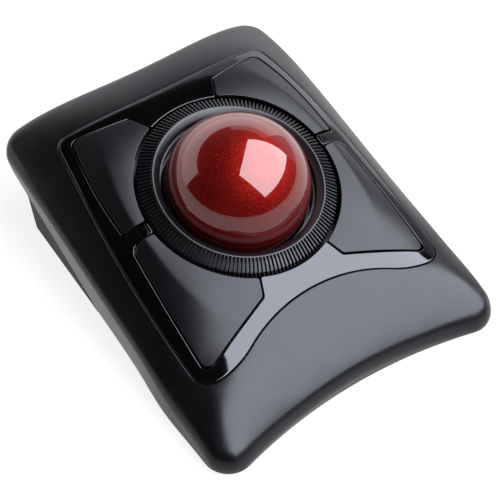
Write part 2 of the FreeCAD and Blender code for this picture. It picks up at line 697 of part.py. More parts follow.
# ---- assembly -----------------------------------------------------------
def build():
    parts["top_shell"] = make_top_shell()
    parts["base_shell"] = make_base_shell()
    parts["centre_plate"] = make_centre_plate()
    for place in ("lower", "upper"):
        right = {
            "button": make_button(place),
            "switch": make_switch(place),
            "plunger": make_plunger(place),
        }
        for name, shape in right.items():
            parts[name + "_" + place + "_right"] = shape
            parts[name + "_" + place + "_left"] = mirrored(shape)
    parts["scroll_ring"] = make_scroll_ring()
    parts["encoder_band"] = make_encoder_band()
    parts["ring_guide"] = make_ring_guide()
    parts["scroll_sensor"] = make_scroll_sensor()
    parts["ball_core"] = ball_layer(core_radius, 0)
    parts["ball_body"] = ball_layer(body_radius, core_radius + layer_gap)
    parts["ball_coat"] = ball_layer(ball_radius, body_radius + layer_gap)
    parts["ball_cup"] = make_ball_cup()
    for name, angle in zip(("back", "left", "right"), bearing_angles):
        parts["bearing_" + name] = make_bearing(angle)
    parts["inner_frame"] = make_inner_frame()
    parts["main_board"] = make_main_board()
    parts["sensor_board"] = make_sensor_board()
    parts["optical_sensor"] = make_optical_sensor()
    parts["sensor_lens"] = make_sensor_lens()
    parts["controller_chip"] = make_controller_chip()
    parts["battery_tray"] = make_battery_tray()
    parts["battery_door"] = make_battery_door()
    parts["cell_front"] = make_cell(cell_front_y, 1)
    parts["cell_back"] = make_cell(cell_back_y, -1)
    parts["contact_plate_front"] = make_contact_plate(cell_front_y, 1)
    parts["contact_plate_back"] = make_contact_plate(cell_back_y, -1)
    parts["contact_spring_front"] = make_contact_spring(cell_front_y, -1)
    parts["contact_spring_back"] = make_contact_spring(cell_back_y, 1)
    parts["power_switch"] = make_power_switch()
    parts["power_slider"] = make_power_slider()
    parts["pairing_switch"] = make_pairing_switch()
    parts["pairing_button"] = make_pairing_button()
    parts["receiver_cap"] = make_receiver_cap()
    parts["receiver_plug"] = make_receiver_plug()
    for name, (x, y) in feet.items():
        parts[name] = make_foot(x, y)
    parts["case_screws"] = make_case_screws()
    parts["board_screws"] = make_board_screws()
    parts["frame_screws"] = make_frame_screws()


build()
os.makedirs("parts", exist_ok=True)
for name, shape in parts.items():
    shape.exportStep(os.path.join("parts", name + ".step"))
    size = shape.optimalBoundingBox()
    print(name, "solids", len(shape.Solids), "valid", shape.isValid(), "volume", round(shape.Volume, 1),
          "x %.1f %.1f y %.1f %.1f z %.1f %.1f" % (size.XMin, size.XMax, size.YMin, size.YMax, size.ZMin, size.ZMax))
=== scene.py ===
import json
import math

import bmesh
import bpy
import numpy as np
from mathutils import Matrix, Vector, geometry


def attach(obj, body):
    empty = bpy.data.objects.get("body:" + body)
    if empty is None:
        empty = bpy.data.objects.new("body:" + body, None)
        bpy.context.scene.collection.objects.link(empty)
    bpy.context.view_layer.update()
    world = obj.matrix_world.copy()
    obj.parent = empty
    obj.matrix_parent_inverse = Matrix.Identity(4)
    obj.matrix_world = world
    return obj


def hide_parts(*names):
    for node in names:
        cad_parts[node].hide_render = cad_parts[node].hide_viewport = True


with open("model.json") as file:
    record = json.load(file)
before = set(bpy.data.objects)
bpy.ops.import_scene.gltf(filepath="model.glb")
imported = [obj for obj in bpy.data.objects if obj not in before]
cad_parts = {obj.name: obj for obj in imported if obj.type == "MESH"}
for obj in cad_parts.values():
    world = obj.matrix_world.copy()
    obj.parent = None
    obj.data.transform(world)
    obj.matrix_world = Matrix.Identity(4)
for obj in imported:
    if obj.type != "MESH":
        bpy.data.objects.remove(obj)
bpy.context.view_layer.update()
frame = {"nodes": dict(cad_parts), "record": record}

MM = 0.001

# ---- sizes, in millimetres ----------------------------------------------
ball_radius = 27.5
ball_y = 7.0
ball_z = 37.5
tilt = math.radians(11.3)
foot_height = 1.0
seam_gap = 0.35
button_gap = 0.6
ring_hole = 39.0

# half width at back, middle and front, then back edge, its middle, front edge, its middle
skirt_at_table = (55.6, 61.4, 66.3, 62.0, 56.6, -80.8, -70.2)
skirt_higher = (63.6, 68.2, 69.2, 92.4, 82.2, -84.8, -74.2)
higher_level = 50.0
corner_back = 8.5
corner_front = 9.5
edge_round = 5.0
# how much wider the edge's rounding is at the back and in front, as a share
back_softness = 0.32
front_softness = 0.68
# the sides' foot flares out near the front corners, and no side passes the widest one
foot_flare = 1.7
flare_middle = -42.0
flare_length = 18.0
widest_side = 65.68
# low crests from the plate's front corners to the body's, and a swell of the palm area
crest_rise = 3.0
crest_reach = 34.0
crest_foot = 66.8
swell_rise = 0.9
# the edges and walls of the plate, its opening, the buttons and the pads between them
plate_round = 0.35
plate_wall = 2.4
opening_round = 0.4
opening_wall = 2.6
button_round = 0.2
button_wall = 2.6
crease_height = 1.2
pad_round = 0.15
pad_wall = 0.5
pad_rise = 0.3
# distance between the points of a filled area
shell_spacing = 2.4
plate_spacing = 1.4
button_spacing = 0.9
pad_spacing = 0.5


# ---- outlines -----------------------------------------------------------
def line(a, b, count):
    across, ahead = b[0] - a[0], b[1] - a[1]
    return [(a[0] + across * i / count, a[1] + ahead * i / count) for i in range(count + 1)]


def arc(a, m, b, count):
    """Points of the circle through three points, from the first to the last."""
    ax, ay = a
    bx, by = m[0] - ax, m[1] - ay
    cx, cy = b[0] - ax, b[1] - ay
    d = 2 * (bx * cy - by * cx)
    ux = (cy * (bx * bx + by * by) - by * (cx * cx + cy * cy)) / d
    uy = (bx * (cx * cx + cy * cy) - cx * (bx * bx + by * by)) / d
    radius = math.hypot(ux, uy)
    start = math.atan2(-uy, -ux)
    middle = math.atan2(by - uy, bx - ux)
    stop = math.atan2(cy - uy, cx - ux)
    turn = (stop - start) % (2 * math.pi)
    if (middle - start) % (2 * math.pi) > turn:
        turn -= 2 * math.pi
    centre = (ax + ux, ay + uy)
    angles = [start + turn * i / count for i in range(count + 1)]
    return [(centre[0] + radius * math.cos(t), centre[1] + radius * math.sin(t)) for t in angles]


def trimmed(points, length):
    """The polyline without its last stretch of the given length, and its direction there."""
    points = [Vector(p) for p in points]
    left = length
    while len(points) > 2 and (points[-1] - points[-2]).length <= left:
        left -= (points[-1] - points[-2]).length
        points.pop()
    step = points[-2] - points[-1]
    direction = -step.normalized()
    points[-1] = points[-1] + step.normalized() * left
    return points, direction


def even(points, count):
    """The same polyline, with count points spaced evenly along it."""
    points = np.array([tuple(p) for p in points])
    length = np.concatenate([[0], np.cumsum(np.linalg.norm(np.diff(points, axis=0), axis=1))])
    at = np.linspace(0, length[-1], count)
    columns = [np.interp(at, length, points[:, k]) for k in range(2)]
    return [Vector(p) for p in np.column_stack(columns)]


def closed_loop(runs, radii, corner_points=10):
    """Joins open runs into one closed outline. radii[i] rounds the corner at the end of run i."""
    runs = [[Vector(p) for p in run] for run in runs]
    count = len(runs)
    ends = [None] * count
    for i in range(count):
        following = runs[(i + 1) % count]
        out = (runs[i][-1] - runs[i][-2]).normalized()
        back = (following[1] - following[0]).normalized()
        turn = math.acos(max(-1.0, min(1.0, out.dot(back))))
        ends[i] = (radii[i] * math.tan(turn / 2), turn)
    result = []
    for i in range(count):
        body = runs[i]
        lead = ends[i - 1][0]
        tail, turn = ends[i]
        if lead > 1e-6:
            body, _ = trimmed(body[::-1], lead)
            body = body[::-1]
        if tail > 1e-6:
            body, out = trimmed(body, tail)
            body = even(body, len(runs[i]))
            after, _ = trimmed(runs[(i + 1) % count][::-1], tail)
            back = (after[-2] - after[-1]).normalized()
            handle = 4 / 3 * math.tan(turn / 4) * radii[i]
            a, b = body[-1], after[-1]
            c, d = a + out * handle, b - back * handle
            result += body
            for k in range(1, corner_points):
                s = k / corner_points
                near_a = (1 - s)**3 * a + 3 * (1 - s)**2 * s * c
                result.append(near_a + 3 * (1 - s) * s * s * d + s**3 * b)
        else:
            result += even(body, len(runs[i]))[:-1]
    return np.array([tuple(p) for p in result])


def flipped(run):
    return [(-x, y) for x, y in run][::-1]


def runs_anticlockwise(loop):
    following = np.roll(loop, -1, 0)
    return (loop[:, 0] * following[:, 1] - loop[:, 1] * following[:, 0]).sum() > 0


def offset(loop, distance):
    """Moves a closed outline inwards, if it runs anticlockwise, by a small distance."""
    before, after = np.roll(loop, 1, 0), np.roll(loop, -1, 0)
    first = loop - before
    second = after - loop
    first /= np.linalg.norm(first, axis=1)[:, None]
    second /= np.linalg.norm(second, axis=1)[:, None]
    middle = first + second
    middle /= np.linalg.norm(middle, axis=1)[:, None]
    inward = np.stack([-middle[:, 1], middle[:, 0]], 1)
    stretch = 1 / np.clip((first * middle).sum(1), 0.5, 1)
    return loop + inward * (distance * stretch)[:, None]


def widened(loop, distance):
    """A closed outline moved outwards, whichever way it runs."""
    return offset(loop, -distance if runs_anticlockwise(loop) else distance)


def inside(points, loop):
    """Which of the points lie inside a closed outline."""
    x, y = points[:, 0], points[:, 1]
    hit = np.zeros(len(points), bool)
    for (x0, y0), (x1, y1) in zip(loop, np.roll(loop, -1, 0)):
        crosses = (y0 > y) != (y1 > y)
        with np.errstate(divide="ignore", invalid="ignore"):
            at = x0 + (y - y0) * (x1 - x0) / (y1 - y0)
        hit ^= crosses & (x < at)
    return hit


def distance_to(points, loop):
    """How far each point is from a closed outline."""
    best = np.full(len(points), 1e9)
    for a, b in zip(loop, np.roll(loop, -1, 0)):
        along = b - a
        size = max(along.dot(along), 1e-12)
        s = np.clip(((points - a) @ along) / size, 0, 1)
        best = np.minimum(best, np.linalg.norm(points - a - s[:, None] * along, axis=1))
    return best


# ---- the crown over the whole top ---------------------------------------
def soft_step(value):
    """0 up to 0 and 1 from 1 on, with a soft start and end between them."""
    value = np.clip(value, 0, 1)
    return value * value * (3 - 2 * value)


def softer_min(first, second, blur):
    """The smaller of two values, with the change from one to the other spread over blur."""
    share = np.clip(0.5 + 0.5 * (second - first) / blur, 0, 1)
    return first * share + second * (1 - share) - blur * share * (1 - share)


def front_crest(x, y):
    """The crests that run from the plate's front corners to the body's front corners, 0 to 1."""
    crest = 54.0 - 0.2 * (y + 50.0)
    within = soft_step((np.abs(x) - crest + crest_reach) / crest_reach)
    beyond = (crest_foot - np.abs(x)) / (crest_foot - crest)
    return np.clip(softer_min(within, beyond, 0.25), 0, 1) * soft_step((-40.0 - y) / 25.0)


def front_swell(x, y):
    """A slight swell of the palm area, so that it rolls over before the front edge."""
    start, edge = -38.0, -71.0 - 6.5 * (x / 60.0)**2
    s = np.clip((start - y) / (start - edge), 0, 1)
    return swell_rise * 6.75 * s * s * (1 - s)


def crown_height(x, y):
    """Height of the domed top over a place on the desk."""
    across = x / 60.0
    along = (y - ball_y) / 70.0
    spine = 41.0 + 14.5 * along - 9.6 * along**2 - 2.0 * along**3 - 4.4 * along**4
    roll_off = 15.6 + 1.6 * along - 9.8 * along**2
    return spine - roll_off * across**4 + crest_rise * front_crest(x, y) + front_swell(x, y)


def on_crown(points, depth):
    """Plan points, lifted to a depth under the crown."""
    z = crown_height(points[:, 0], points[:, 1]) - depth
    return np.column_stack([points, z])


def tilted(points):
    """Points drawn about the ball's centre, in the ring's leaning frame."""
    u, v, t = points[:, 0], points[:, 1], points[:, 2]
    y = ball_y + v * math.cos(tilt) - t * math.sin(tilt)
    z = ball_z + v * math.sin(tilt) + t * math.cos(tilt)
    return np.column_stack([u, y, z])


def on_crown_tilted(points, depth):
    """Points drawn in the ring's frame, brought along its axis to a depth under the crown."""
    rise = np.zeros(len(points))
    for _ in range(12):
        spot = tilted(np.column_stack([points, rise]))
        missing = crown_height(spot[:, 0], spot[:, 1]) - depth - spot[:, 2]
        rise += missing / (math.cos(tilt) + 0.06)
    return tilted(np.column_stack([points, rise]))


# ---- meshes -------------------------------------------------------------
def make_object(name, points, faces, material, body, nodes=()):
    """A smooth piece that rides on a body, and takes the place of the CAD nodes given."""
    mesh = bpy.data.meshes.new(name)
    mesh.from_pydata([tuple(p) for p in np.asarray(points) * MM], [], faces)
    mesh.validate()
    work = bmesh.new()
    work.from_mesh(mesh)
    bmesh.ops.remove_doubles(work, verts=work.verts, dist=1e-7)
    bmesh.ops.recalc_face_normals(work, faces=work.faces)
    work.to_mesh(mesh)
    work.free()
    mesh.materials.append(material)
    mesh.shade_smooth()
    shape = bpy.data.objects.new(name, mesh)
    bpy.context.scene.collection.objects.link(shape)
    if nodes:
        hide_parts(*nodes)
    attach(shape, body)
    return shape


def strip(first, second, count):
    """Faces between two closed rows of points that start at those indices."""
    pairs = [(i, (i + 1) % count) for i in range(count)]
    return [(first + i, first + j, second + j, second + i) for i, j in pairs]


def stitch(points, faces, start, rows):
    """Adds closed rows of points: the first joins the row at start, and each next one the last."""
    total = sum(len(row) for row in points)
    for row in rows:
        points.append(row)
        faces += strip(start, total, len(row))
        start = total
        total += len(row)


def triangle_grid(low, high, spacing):
    """Points of a grid of even triangles over a rectangle."""
    rows = int((high[1] - low[1]) / (spacing * 0.866)) + 1
    columns = int((high[0] - low[0]) / spacing) + 2
    grid = []
    for j in range(rows):
        for i in range(columns):
            across = (i + 0.5 * (j % 2)) * spacing
            grid.append((low[0] + across, low[1] + j * spacing * 0.866))
    return np.array(grid)


def filled(loops, spacing):
    """Triangles over the area inside the first outline and outside the others."""
    grid = triangle_grid(loops[0].min(0), loops[0].max(0), spacing)
    keep = inside(grid, loops[0])
    for hole in loops[1:]:
        keep &= ~inside(grid, hole)
    grid = grid[keep]
    for loop in loops:
        grid = grid[distance_to(grid, loop) > spacing * 0.55]
    points = np.concatenate(list(loops) + [grid])
    edges = []
    start = 0
    for loop in loops:
        edges += [(start + i, start + (i + 1) % len(loop)) for i in range(len(loop))]
        start += len(loop)
    result = geometry.delaunay_2d_cdt([Vector(p) for p in points], edges, [], 0, 1e-6)
    verts = np.array([tuple(p) for p in result[0]])
    origin = result[3]
    faces = [tuple(f) for f in result[2]]
    corners = np.array([verts[list(f)] for f in faces])
    centres = corners.mean(1)
    first, second = corners[:, 1] - corners[:, 0], corners[:, 2] - corners[:, 0]
    doubled_area = abs(first[:, 0] * second[:, 1] - first[:, 1] * second[:, 0])
    # three points in a row on a straight edge make no face
    keep = inside(centres, loops[0]) & (doubled_area > 2e-4)
    for hole in loops[1:]:
        keep &= ~inside(centres, hole)
    # every outline point keeps its own index
    order = {}
    for new, olds in enumerate(origin):
        for old in olds:
            order[old] = new
    renumber = {new: old for old, new in sorted(order.items(), reverse=True)}
    faces = [tuple(renumber[v] for v in f) for f, k in zip(faces, keep) if k]
    return points, faces


def panel(loops, lift, radius, depth, spacing, extra=None):
    """A skin over an area, with rounded edges and walls that go down to depth."""
    steps = 5
    turned = []
    for k, loop in enumerate(loops):
        turned.append(loop if runs_anticlockwise(loop) == (k == 0) else loop[::-1])
    border = min(0.3, radius)
    flat, faces = filled([offset(loop, radius + border) for loop in turned], spacing)
    sunk = np.zeros(len(flat)) if extra is None else extra(flat)
    points = [lift(flat, sunk)]
    start = 0
    for loop in turned:
        rows = []
        for k in range(steps + 2):
            angle = math.pi / 2 * min(k, steps) / steps
            inset = radius * (1 - math.sin(angle))
            down = radius * (1 - math.cos(angle)) if k <= steps else depth
            row = offset(loop, inset)
            low = np.zeros(len(loop)) if extra is None else extra(row)
            rows.append(lift(row, low + down))
        stitch(points, faces, start, rows)
        start += len(loop)
    return np.concatenate(points), faces


# ---- plate and buttons, drawn in the ring's frame -----------------------
def plate_outline(inset):
    """The centre plate's edge, which dips in an arch round the front of the ring."""
    back = (46.9 - inset, 51.3 - inset)
    side = (54.4 - inset, -3.0)
    front = (55.4 - inset, -60.6 + inset)
    blend = (46.5, front[1])
    arch = (33.0, -56.6 + inset * 0.87)
    arch_top = -48.4 + inset
    right = [
        arc(back, side, front, 60),
        line(front, blend, 6),
        arc(blend, (39.5, front[1] + 1.4), arch, 10),
    ]
    middle = arc(arch, (0, arch_top), (-arch[0], arch[1]), 60)
    left = [flipped(run) for run in right[::-1]]
    rear = arc((-back[0], back[1]), (0, back[1] - 1.6), back, 60)
    front_round, back_round = max(7.0 - inset, 2.0), max(5.0 - inset, 1.5)
    radii = [front_round, 0, 0, 0, 0, front_round, back_round, back_round]
    return closed_loop(right + [middle] + left + [rear], radii)


def on_circle(radius, angle):
    return (radius * math.cos(math.radians(angle)), radius * math.sin(math.radians(angle)))


def grown_corner(before, corner, after, grow):
    """The corner of an outline that runs clockwise, once its two sides have moved out by grow."""
    before, corner, after = Vector(before), Vector(corner), Vector(after)
    normals = []
    for start, stop in ((before, corner), (corner, after)):
        along = (stop - start).normalized()
        normals.append(Vector((-along.y, along.x)))
    moved = corner + (normals[0] + normals[1]) * (grow / (1 + normals[0].dot(normals[1])))
    return (moved.x, moved.y)


def button_outline(place, side, grow):
    """A button's edge, moved out by grow, which is negative for the button itself."""
    hole = ring_hole - grow
    if place == "lower":
        near, far = on_circle(hole, -2.6), on_circle(hole, -66.8)
        corners = [(48.2, -1.9), (51.0, -55.8), (18.3, -43.0)]
        radii = [4.0, 2.6, 2.2]
        bow = (50.1 + grow, -28.0)
        half_angle = -34.7
    else:
        near, far = on_circle(hole, 67.6), on_circle(hole, 5.4)
        corners = [(19.4, 44.0), (42.3, 47.4), (47.9, 3.7)]
        radii = [2.0, 2.6, 1.2]
        bow = (46.7 + grow, 27.0)
        half_angle = 36.5
    path = [near] + corners + [far]
    first, second, third = [grown_corner(path[i], path[i + 1], path[i + 2], grow) for i in range(3)]
    if place == "lower":
        near, far = (near[0], near[1] + grow), (far[0] - grow, far[1])
    else:
        near, far = (near[0] - grow, near[1]), (far[0], far[1] - grow)
    inner = arc(far, on_circle(hole, half_angle), near, 70)
    if place == "lower":
        runs = [line(near, first, 10), arc(first, bow, second, 50), line(second, third, 30)]
    else:
        runs = [line(near, first, 10), line(first, second, 22), arc(second, bow, third, 46)]
    tip = 0.3 if grow > 0 else 0.9
    loop = closed_loop(runs + [line(third, far, 8), inner], radii + [tip, tip])
    return loop if side > 0 else loop * np.array([-1, 1])


# ---- materials ----------------------------------------------------------
def new_material(name, base, roughness, metallic=0.0):
    made = bpy.data.materials.new(name)
    made.use_nodes = True
    shader = made.node_tree.nodes["Principled BSDF"]
    shader.inputs["Base Color"].default_value = (*base, 1)
    shader.inputs["Roughness"].default_value = roughness
    shader.inputs["Metallic"].default_value = metallic
    return made, made.node_tree, shader


def object_noise(tree, scale, detail, roughness=0.5):
    """Noise that is fixed to the piece."""
    spot = tree.nodes.new("ShaderNodeTexCoord")
    noise = tree.nodes.new("ShaderNodeTexNoise")
    noise.inputs["Scale"].default_value = scale
    noise.inputs["Detail"].default_value = detail
    noise.inputs["Roughness"].default_value = roughness
    tree.links.new(spot.outputs["Object"], noise.inputs["Vector"])
    return noise


def ramp(tree, source, low, high, from_low=0.3, from_high=0.7):
    """The source, stretched so that its middle range runs from low to high."""
    span = tree.nodes.new("ShaderNodeMapRange")
    span.inputs["From Min"].default_value = from_low
    span.inputs["From Max"].default_value = from_high
    span.inputs["To Min"].default_value = low
    span.inputs["To Max"].default_value = high
    tree.links.new(source, span.inputs["Value"])
    return span.outputs["Result"]


# which sockets of a Mix node carry its factor, its two colours and the mixed colour
mix_factor, mix_first, mix_second, mix_result = 0, 6, 7, 2


def blend_colours(tree, factor, first, second):
    mix = tree.nodes.new("ShaderNodeMix")
    mix.data_type = "RGBA"
    mix.inputs[mix_first].default_value = (*first, 1)
    mix.inputs[mix_second].default_value = (*second, 1)
    tree.links.new(factor, mix.inputs[mix_factor])
    return mix.outputs[mix_result]


def tone_break(tree, shader, base, lighter, scale):
    """Slow changes between two tones."""
    noise = object_noise(tree, scale, 3)
    mixed = blend_colours(tree, ramp(tree, noise.outputs[0], 0, 1), base, lighter)
    tree.links.new(mixed, shader.inputs["Base Color"])


def bumped(tree, shader, source, strength, distance):
    """Relief on the surface, of the given depth in metres."""
    relief = tree.nodes.new("ShaderNodeBump")
    relief.inputs["Strength"].default_value = strength
    relief.inputs["Distance"].default_value = distance
    tree.links.new(source, relief.inputs["Height"])
    tree.links.new(relief.outputs[0], shader.inputs["Normal"])


def plastic(name, base, lighter, roughness, spread, grain, bump, specular=0.5, clear=0.0):
    """Moulded plastic: slow tone changes, handling marks in the gloss, and a fine grain."""
    made, tree, shader = new_material(name, base, roughness)
    shader.inputs["Specular IOR Level"].default_value = specular
    shader.inputs["Specular Tint"].default_value = (0.90, 0.91, 1.0, 1.0)
    shader.inputs["Transmission Weight"].default_value = clear
    tone_break(tree, shader, base, lighter, 38)
    marks = object_noise(tree, 160, 4, 0.6)
    sheen = ramp(tree, marks.outputs[0], roughness - spread, roughness + spread)
    tree.links.new(sheen, shader.inputs["Roughness"])
    fine = object_noise(tree, grain, 2)
    bumped(tree, shader, fine.outputs[0], bump, 0.00005)
    return made


deep_black, deep_black_light = (0.0005, 0.0005, 0.0007), (0.0009, 0.0009, 0.0012)
gloss_tone, gloss_light = (0.0006, 0.0006, 0.0007), (0.0010, 0.0010, 0.0011)
matte_tone, matte_light = (0.0020, 0.0020, 0.0022), (0.0030, 0.0030, 0.0032)
ring_tone, ring_light = (0.0012, 0.0012, 0.0014), (0.0020, 0.0020, 0.0022)
# name, two tones, roughness and its spread, grain, bump, specular level
casing = plastic("soft_touch_black", deep_black, deep_black_light, 0.33, 0.02, 3200, 0.12, 0.32)
casing_low = plastic("fine_matte_black", matte_tone, matte_light, 0.50, 0.04, 2600, 0.35, 0.14)
gloss = plastic("gloss_black", gloss_tone, gloss_light, 0.08, 0.02, 300, 0.02, 0.5)
key_black = plastic("semi_gloss_black", deep_black, deep_black_light, 0.37, 0.02, 2400, 0.06, 0.29)
ring_black = plastic("ring_black", ring_tone, ring_light, 0.34, 0.04, 2400, 0.10, 0.42)


def worn_metal(name, base, lighter, roughness, spread):
    """Plated or machined metal: fine brushing in the gloss and slow tone changes."""
    made, tree, shader = new_material(name, base, roughness, 1.0)
    tone_break(tree, shader, base, lighter, 220)
    brushing = object_noise(tree, 900, 5, 0.7)
    sheen = ramp(tree, brushing.outputs[0], roughness - spread, roughness + spread)
    tree.links.new(sheen, shader.inputs["Roughness"])
    return made


def pearl(name):
    """Cast resin ball: flakes that glitter in deep red, under a thick clear coat."""
    made, tree, shader = new_material(name, (0.13, 0.003, 0.003), 0.52, 0.85)
    shader.inputs["Specular IOR Level"].default_value = 0.0
    shader.inputs["Coat Weight"].default_value = 1.0
    shader.inputs["Coat Roughness"].default_value = 0.015
    shader.inputs["Coat IOR"].default_value = 1.52
    clouds = object_noise(tree, 55, 3)
    darker, lighter = (0.090, 0.0016, 0.0018), (0.125, 0.0040, 0.0034)
    deep = blend_colours(tree, ramp(tree, clouds.outputs[0], 0, 1), darker, lighter)
    spot = tree.nodes.new("ShaderNodeTexCoord")
    flakes = tree.nodes.new("ShaderNodeTexVoronoi")
    flakes.inputs["Scale"].default_value = 4200
    tree.links.new(spot.outputs["Object"], flakes.inputs["Vector"])
    glint = tree.nodes.new("ShaderNodeSeparateColor")
    tree.links.new(flakes.outputs["Color"], glint.inputs[0])
    chosen = ramp(tree, glint.outputs[0], 0, 1, 0.80, 1.0)
    sparkle = tree.nodes.new("ShaderNodeMix")
    sparkle.data_type = "RGBA"
    sparkle.inputs[mix_second].default_value = (0.22, 0.02, 0.008, 1)
    tree.links.new(chosen, sparkle.inputs[mix_factor])
    tree.links.new(deep, sparkle.inputs[mix_first])
    tree.links.new(sparkle.outputs[mix_result], shader.inputs["Base Color"])
    bumped(tree, shader, glint.outputs[1], 0.12, 0.00008)
    return made


pearl_red = pearl("pearl_red")


# ---- top shell ----------------------------------------------------------
def body_outline(half_back, half_middle, half_front, back, back_middle, front, front_middle):
    """The casing's outline at one height, with hollow front and back edges."""
    middle = (back + front) / 2
    front_left, front_right = (-half_front, front), (half_front, front)
    back_left, back_right = (-half_back, back), (half_back, back)
    runs = [
        arc(front_left, (0, front_middle), front_right, 90),
        arc(front_right, (half_middle, middle), back_right, 100),
        arc(back_right, (0, back_middle), back_left, 80),
        arc(back_left, (-half_middle, middle), front_left, 100),
    ]
    return closed_loop(runs, [corner_front, corner_back, corner_back, corner_front], 16)


def split_height(y):
    """Height of the seam between the top shell and the base."""
    return foot_height + 0.391 * (y - 8.0)


class Sides:
    """The flared side walls, through the outline at the table and the one at the higher level."""

    def __init__(self):
        self.low, self.high = body_outline(*skirt_at_table), body_outline(*skirt_higher)
        across, ahead = self.low[:, 0], self.low[:, 1]
        # from 55 mm out to 60 mm out
        on_side = np.clip(np.abs(across) / 5.0 - 11.0, 0, 1)
        flare = foot_flare * np.exp(-((ahead - flare_middle) / flare_length)**2) * on_side
        self.low[:, 0] += np.sign(across) * flare
        self.high[:, 0] -= np.sign(across) * flare * 2.0
        middle = (self.low + self.high) / 2
        self.inward = offset(middle, 1.0) - middle
        self.inward /= np.linalg.norm(self.inward, axis=1)[:, None]

    def spot(self, z, inset):
        """The outline at the heights z, moved in by inset."""
        z = np.broadcast_to(z, len(self.low))[:, None]
        flat = self.low + (self.high - self.low) * z / higher_level
        flat = flat + self.inward * np.reshape(inset, (-1, 1))
        width = softer_min(np.abs(flat[:, 0]), widest_side, 0.4)
        flat[:, 0] = np.sign(flat[:, 0]) * width
        return flat

    def crest(self, inset, depth):
        """Where the walls, moved in by inset, meet the crown, lowered by depth."""
        z = np.full(len(self.low), 25.0)
        for _ in range(30):
            flat = self.spot(z, inset)
            z = 0.5 * z + 0.5 * (crown_height(flat[:, 0], flat[:, 1]) - depth)
        flat = self.spot(z, inset)
        return np.column_stack([flat, z])

    def foot(self):
        """Height of the bottom edge: level in front, then rising towards the back."""
        z = np.full(len(self.low), 5.0)
        for _ in range(20):
            flat = self.spot(z, 0)
            z = np.maximum(foot_height, split_height(flat[:, 1]))
        return z


def edge_radii(sides, edge):
    """The rim's rounding, larger where crown and side meet at a wide angle.

    Also how level the crown is there, from 1 down to 0 where it would be upright."""
    down = edge - np.column_stack([sides.spot(edge[:, 2] + 5, 0), edge[:, 2] + 5])
    down /= np.linalg.norm(down, axis=1)[:, None]
    ahead = edge[:, :2] + sides.inward
    over = np.column_stack([ahead, crown_height(ahead[:, 0], ahead[:, 1])]) - edge
    slope = np.abs(over[:, 2])
    over /= np.linalg.norm(over, axis=1)[:, None]
    radius = edge_round * (1 + (down * over).sum(1))
    radius *= 1 + back_softness * soft_step(edge[:, 1] / 70.0 - 0.6)
    radius *= 1 + front_softness * soft_step(-edge[:, 1] / 40.0 - 0.5)
    return radius, 1 / np.sqrt(1 + slope**2)


def make_top_shell():
    sides = Sides()
    edge = sides.crest(0, 0)
    radius, level = edge_radii(sides, edge)
    rounded = []
    for k in range(9):
        angle = math.pi / 2 * k / 8
        inset = radius * (1 - math.sin(angle))
        rounded.append(sides.crest(inset, radius * (1 - math.cos(angle)) / level))
    bottom = sides.foot()
    start = rounded[-1][:, 2]
    walls = []
    for k in range(1, 15):
        z = start + (bottom + 0.35 - start) * k / 14
        walls.append(np.column_stack([sides.spot(z, 0), z]))
    # round the bottom edge, then a little way up inside
    for inset, rise in ((0.1, 0.1), (0.35, 0.0), (1.85, 0.0), (2.1, 0.1), (2.2, 0.35), (2.2, 3.0)):
        walls.append(np.column_stack([sides.spot(bottom + rise, inset), bottom + rise]))

    hole = on_crown_tilted(plate_outline(0), 0)[:, :2]
    flat, faces = filled([rounded[0][:, :2], widened(hole, opening_round)], shell_spacing)
    points = [on_crown(flat, 0)]
    stitch(points, faces, 0, rounded[1:] + walls)
    # the lip round the plate's opening, then its wall
    opening = []
    for k in range(1, 7):
        angle = math.pi / 2 * min(k, 5) / 5
        down = opening_round * (1 - math.cos(angle)) if k < 6 else opening_wall
        opening.append(on_crown(widened(hole, opening_round * (1 - math.sin(angle))), down))
    stitch(points, faces, len(edge), opening)
    return np.concatenate(points), faces


points, faces = make_top_shell()
make_object("top_casing", points, faces, casing, "root", ["top_shell"])


# ---- centre plate and buttons -------------------------------------------
def window_union():
    """The ring's hole and the button windows, which open into it, as one outline."""
    outer_runs = []
    for place, side in (("upper", 1), ("upper", -1), ("lower", -1), ("lower", 1)):
        window = button_outline(place, side, button_gap / 2)
        radius = np.hypot(window[:, 0], window[:, 1])
        outside = radius > ring_hole + 0.02
        if not runs_anticlockwise(window):
            window, outside = window[::-1], outside[::-1]
        # the window runs anticlockwise, so its outer side runs from its low angle to its high angle
        first = next(i for i in range(len(outside)) if outside[i] and not outside[i - 1])
        run = []
        for k in range(len(window)):
            i = (first + k) % len(window)
            if not outside[i]:
                break
            run.append(window[i])
        outer_runs.append(np.array(run))
    joined = []
    for i, run in enumerate(outer_runs):
        joined += [tuple(p) for p in run]
        following = outer_runs[(i + 1) % len(outer_runs)]
        start = math.degrees(math.atan2(run[-1][1], run[-1][0]))
        stop = math.degrees(math.atan2(following[0][1], following[0][0]))
        sweep = (stop - start) % 360
        steps = max(3, int(sweep / 0.8))
        for k in range(1, steps):
            joined.append(on_circle(ring_hole, start + sweep * k / steps))
    return np.array(joined)


plate_edges = [plate_outline(seam_gap), window_union()]
points, faces = panel(plate_edges, on_crown_tilted, plate_round, plate_wall, plate_spacing)
make_object("gloss_plate", points, faces, gloss, "root", ["centre_plate"])


